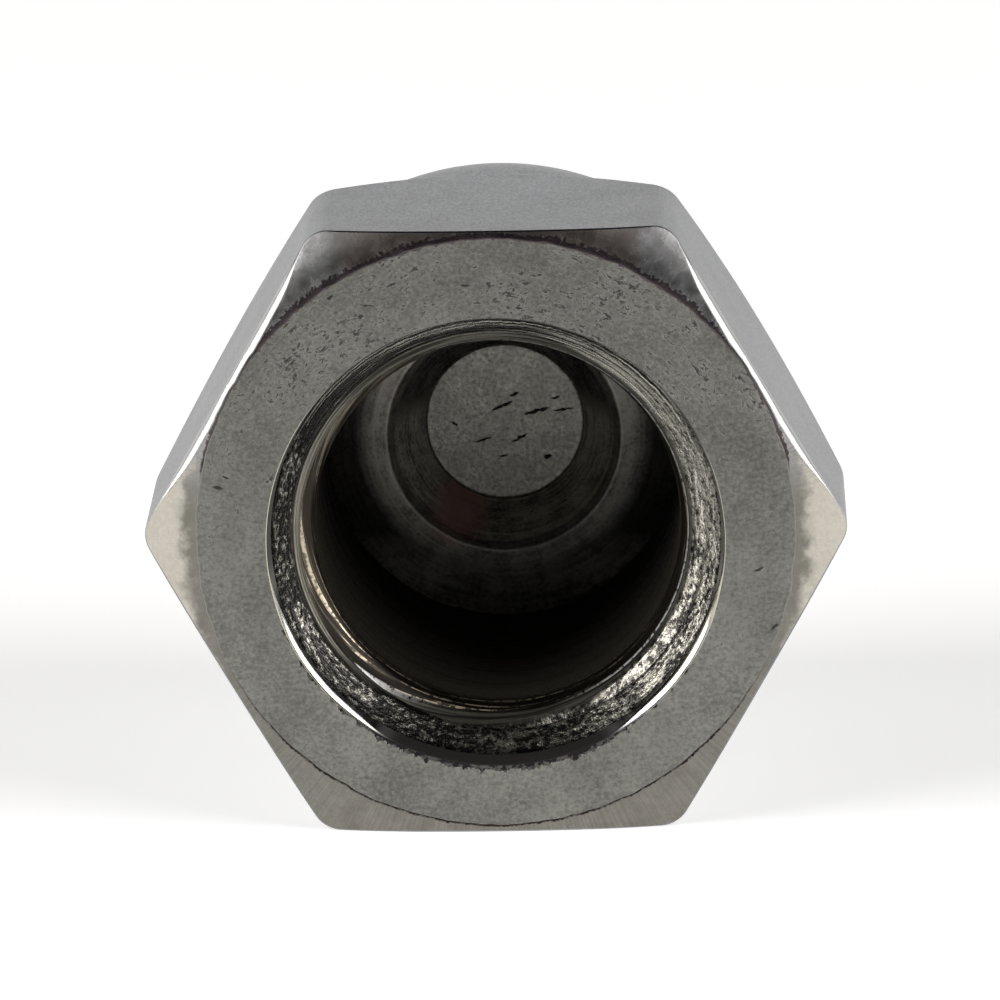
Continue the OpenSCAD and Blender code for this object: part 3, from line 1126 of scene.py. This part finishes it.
def boreSteel():
    # Torn countersink, a smooth lead-in with painted glints as thin bright rings, and the thread behind it,
    # darkened with depth as painted shade
    look = boreFinish
    material, tree, place = startSteel("boreSteel", look["metallic"])
    cloud, grain = grainAt(tree, place, look["grain"])
    streaks, rings = streaksAt(tree, place, look["streaks"]), streaksAt(tree, place, look["rings"])
    parts = partsOf(tree, place)
    across, height, depth = parts["X"], parts["Z"], depthAt(tree, parts)
    rightSide = zone(tree, across, look["rightSide"])
    lowest = zone(tree, height, look["lowest"], boreCentreZ)
    further = product(tree, largest(tree, rightSide, lowest), look["further"] * mm)
    sink = zone(tree, mathNode(tree, "SUBTRACT", depth, further), look["sinkEnd"], bore["tornEnd"])
    smooth = zone(tree, depth, look["smoothEnd"], bore["ridgeDepth"])
    fade = zone(tree, depth, look["fade"])

    # Bright specks of the torn part
    upper = zone(tree, height, look["upper"], boreCentreZ)
    torn = mixValue(tree, upper, weighted(tree, look["tornShares"], cloud, streaks), rings)
    upperLess = product(tree, upper, look["upperLess"])
    # Painted highlight: more bright specks towards the right, and higher up at the right
    rightward = mathNode(tree, "SUBTRACT", zone(tree, across, look["rightward"]), upperLess)
    reach, heights, share = look["rightUp"]
    rightUp = product(tree, zone(tree, across, reach), zone(tree, height, heights, boreCentreZ), share)
    share = mathNode(tree, "ADD", torn, mathNode(tree, "ADD", rightward, rightUp))
    # Painted shade: the lower part of the countersink and the smooth band is darker
    below = zone(tree, height, look["below"], boreCentreZ)
    speckle = mixColour(tree, ramp(tree, share, look["specks"]), look["sinkDark"], look["sink"])
    speckle = scaled(tree, speckle, ramp(tree, below, look["speckBelow"]))
    speckle = scaled(tree, speckle, zone(tree, depth, look["entry"], bore["lipLength"]))

    even = mixColour(tree, ramp(tree, rings, look["smoothRings"]), look["smoothDark"], look["smooth"])
    # Painted shade: the smooth band is darker towards the right and at the bottom
    evenTone = product(tree, zone(tree, across, look["smoothRight"]), ramp(tree, below, look["smoothBelow"]))
    lit = scaled(tree, mixColour(tree, sink, scaled(tree, even, evenTone), speckle), below)
    turned = mixColour(tree, ramp(tree, rings, look["leadRings"]), look["leadDark"], look["lead"])
    # Painted shade: the lead-in is darker towards the bottom
    turned = scaled(tree, turned, zone(tree, height, look["leadBelow"], boreCentreZ))
    # Painted highlight: thin bright glint rings in the lead-in, below the middle
    glint = product(
        tree, ramp(tree, rings, look["glintRings"]), zone(tree, depth, look["glintDepth"]),
        zone(tree, height, look["glintHeights"], boreCentreZ), ramp(tree, cloud, look["glintClouds"]),
    )
    # Painted shade: the thread darkens with depth
    turned = mixColour(tree, glint, mixColour(tree, fade, turned, look["deep"]), look["glint"])
    base = mixColour(tree, smooth, turned, lit)
    # Painted highlight: a thin bright line where the smooth band ends
    offRidge = mathNode(tree, "ABSOLUTE", mathNode(tree, "SUBTRACT", depth, bore["ridgeDepth"] * mm))
    ridge = product(
        tree, zone(tree, offRidge, look["ridgeWidth"]), zone(tree, height, look["ridgeHeights"], boreCentreZ),
        ramp(tree, cloud, look["ridgeClouds"]),
    )
    base = mixColour(tree, ridge, base, look["ridge"])

    fadeRough, leadRough = look["deepRough"]
    rough = mathNode(tree, "ADD", ramp(tree, grain, look["rough"]), product(tree, fade, fadeRough))
    onSmooth = mathNode(tree, "SUBTRACT", smooth, sink)
    rough = mathNode(tree, "ADD", rough, product(tree, onSmooth, ramp(tree, rightSide, look["smoothRough"])))
    onLead = mathNode(tree, "SUBTRACT", 1.0, smooth)
    rough = mathNode(tree, "ADD", rough, product(tree, onLead, leadRough))
    return finished(material, base, rough, [(rings, 0.02, 0.4), (product(tree, torn, sink), 0.16, 0.9)])


pocketFinish = {
    "colour": (0.66, 0.62, 0.56, 1),
    "deep": (0.26, 0.24, 0.215),
    # painted highlight on the rim's edge at the left, and painted shade on it at the right
    "rim": (0.36, 0.345, 0.325, 1),
    "rimShade": (0.2, 0.19, 0.18, 1),
    # painted light on the wall below the bore's axis, and painted shade above it
    "wall": (0.95, 0.89, 0.77, 1),
    "shadedWallAbove": (0.014, 0.013, 0.013, 1),
    "stain": (0.78, 0.42, 0.40, 1),
    "grain": (900, 6000),
    "streaks": (250, 4200),
    "toneShares": (0.35, 0.35, 0.3),
    "tone": (0.36, 0.6),
    "wallDepth": (0, 0.25),
    "above": (0, 2),
    "shade": (6.4, 7.6, 1.0, 0.10),  # painted shade: the shoulder is dark beside the thread
    "unshaded": (-8, -4, 1.0, 0.0),
    # painted shade: darker towards the right
    "leftward": (-5, -1, 1.0, 0.7),
    "stainPlace": (-2.3, -4.1),  # beside and below the bore's axis
    "stainReach": (0.57, 1.9, 0.8, 0.0),
    "sheenClouds": (0.4, 0.6),
    "sheenLeft": (-3, 1, 1.0, 0.1),
    "sheenHeights": (-1, 3, 1.0, 0.0),
    "dimEdge": (0.05, 0.4),
    "dimRight": (-4, 0, 0.5, 1.0),
    "dimGrain": (0.4, 0.6, 1.0, 0.5),
    "ringPlace": 0.7,  # how far a thin painted highlight line lies outside the rim
    "ringWidth": (0.03, 0.09, 0.6, 0.0),
    "ringLeft": (-4, -2, 1.0, 0.0),
    "rough": (*noiseSpread, 0.32, 0.48),
    "wallRough": 0.25,
    "edgeRough": 0.15,
    "metallic": (0.0, 1.0, 0.7, 0.3),
    "specular": 0.25,
}


def pocketSteel():
    look = pocketFinish
    material, tree, place = startSteel("drilledSteel", look["metallic"][2], look["specular"])
    cloud, grain = grainAt(tree, place, look["grain"])
    streaks, edge = streaksAt(tree, place, look["streaks"]), stored(tree, "edge")
    parts = partsOf(tree, place)
    across, height = parts["X"], parts["Z"]
    wall = zone(tree, depthAt(tree, parts, bore["rimDepth"] + bore["rimFall"]), look["wallDepth"])
    above = zone(tree, height, look["above"], boreCentreZ)
    # Painted light and shade: the pocket's wall is bright below the bore's axis and black above it
    lit = mixColour(tree, wall, look["colour"], mixColour(tree, above, look["wall"], look["shadedWallAbove"]))
    away = fromAxis(tree, place, boreCentreZ)
    shade = largest(tree, zone(tree, away, look["shade"]), zone(tree, height, look["unshaded"], boreCentreZ))
    # Painted shade: darker beside the thread and towards the right
    light = product(tree, zone(tree, across, look["leftward"]), shade)
    tone = ramp(tree, weighted(tree, look["toneShares"], cloud, streaks, grain), look["tone"])
    base = mixColour(tree, tone, scaled(tree, look["deep"], light), scaled(tree, lit, light))

    stainX, stainZ = look["stainPlace"]
    stainMiddle = (stainX * mm, 0, (boreCentreZ + stainZ) * mm)
    fromStain = vectorNode(tree, "MULTIPLY", vectorNode(tree, "SUBTRACT", place, stainMiddle), (1, 0, 1))
    stain = zone(tree, vectorNode(tree, "LENGTH", fromStain), look["stainReach"])
    base = mixColour(tree, stain, base, look["stain"])
    # Painted highlight: the rim's edge is lighter at the left
    worn = product(
        tree, edge, ramp(tree, cloud, look["sheenClouds"]), zone(tree, across, look["sheenLeft"]),
        zone(tree, height, look["sheenHeights"], boreCentreZ),
    )
    base = mixColour(tree, worn, base, look["rim"])
    # Painted shade: the rim's edge is darker at the right
    dim = product(
        tree, ramp(tree, edge, look["dimEdge"]), zone(tree, across, look["dimRight"]),
        ramp(tree, grain, look["dimGrain"]),
    )
    base = mixColour(tree, dim, base, look["rimShade"])
    # Painted highlight: a thin light line outside the rim at the left
    fromRing = mathNode(tree, "SUBTRACT", away, (bore["rimOuter"] + look["ringPlace"]) * mm)
    ring = zone(tree, mathNode(tree, "ABSOLUTE", fromRing), look["ringWidth"])
    base = mixColour(tree, product(tree, ring, zone(tree, across, look["ringLeft"])), base, look["colour"])
    rough = mathNode(tree, "ADD", ramp(tree, grain, look["rough"]), product(tree, wall, look["wallRough"]))
    rough = mathNode(tree, "ADD", rough, product(tree, edge, look["edgeRough"]))
    bumps = [(streaks, 0.02, 0.4), (grain, 0.02, 0.5)]
    return finished(material, base, rough, bumps, ramp(tree, wall, look["metallic"]))


floorFinish = {
    "colour": (0.43, 0.418, 0.375, 1),
    "dull": (0.18, 0.171, 0.152, 1),
    "pit": (0.02, 0.018, 0.016, 1),
    "grain": (1500, 5000),
    "toothShares": (0.6, 0.4),
    "tooth": (0.3, 0.68),
    "dentWander": 0.22,
    "rough": (*noiseSpread, 0.42, 0.55),
}
floorDents = (
    (-0.15, 0.78, 1.1, 0.17, 23), (0.47, 1.38, 0.5, 0.13, 20), (1.6, 0.5, 1.2, 0.16, 12),
    (2.95, 0.56, 0.95, 0.1, 5), (-1.18, -0.95, 0.9, 0.1, 15), (0.75, -0.85, 0.8, 0.13, 32),
    (2.56, 1.2, 0.45, 0.11, 12), (2.15, -1.87, 0.34, 0.2, 5), (-2.55, -0.1, 0.32, 0.13, -40),
    (-0.1, -1.8, 0.4, 0.1, 10),
)


def floorSteel():
    look = floorFinish
    material, tree, place = startSteel("roughPocketFloor")
    cloud, grain = grainAt(tree, place, look["grain"])
    dents = dentMask(tree, place, floorDents, faceY + bore["floorDepth"], look["dentWander"])
    tooth = ramp(tree, weighted(tree, look["toothShares"], grain, cloud), look["tooth"])
    base = mixColour(tree, dents, mixColour(tree, tooth, look["dull"], look["colour"]), look["pit"])
    deep = mathNode(tree, "SUBTRACT", 1.0, dents)
    bumps = [(grain, 0.035, 0.8), (deep, 0.08, 0.8)]
    return finished(material, base, ramp(tree, cloud, look["rough"]), bumps)


def makeNut():
    points, quads, triangles, finish, along, edge, faceSpan = nutMesh()
    data = flatMesh("domed_cap_nut", points, quads, triangles)
    storeValues(data, "along", along * mm)
    storeValues(data, "edge", edge)
    steels = [outsideSteel(), chamferSteel(), faceSteel(faceSpan)]
    steels += [lipSteel(), boreSteel(), pocketSteel(), floorSteel()]
    for steel in steels:  # in the order of finishNames
        data.materials.append(steel)
    data.polygons.foreach_set("material_index", finish.astype(np.int32))
    nut = bpy.data.objects.new("domed_cap_nut", data)
    bpy.context.scene.collection.objects.link(nut)
    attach(nut, "root")
    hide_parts("cap_nut")
    print("nut made:", len(points), "points,", 2 * len(quads) + len(triangles), "triangles")


makeNut()

view = bpy.context.scene.view_settings
view.view_transform = "Standard"
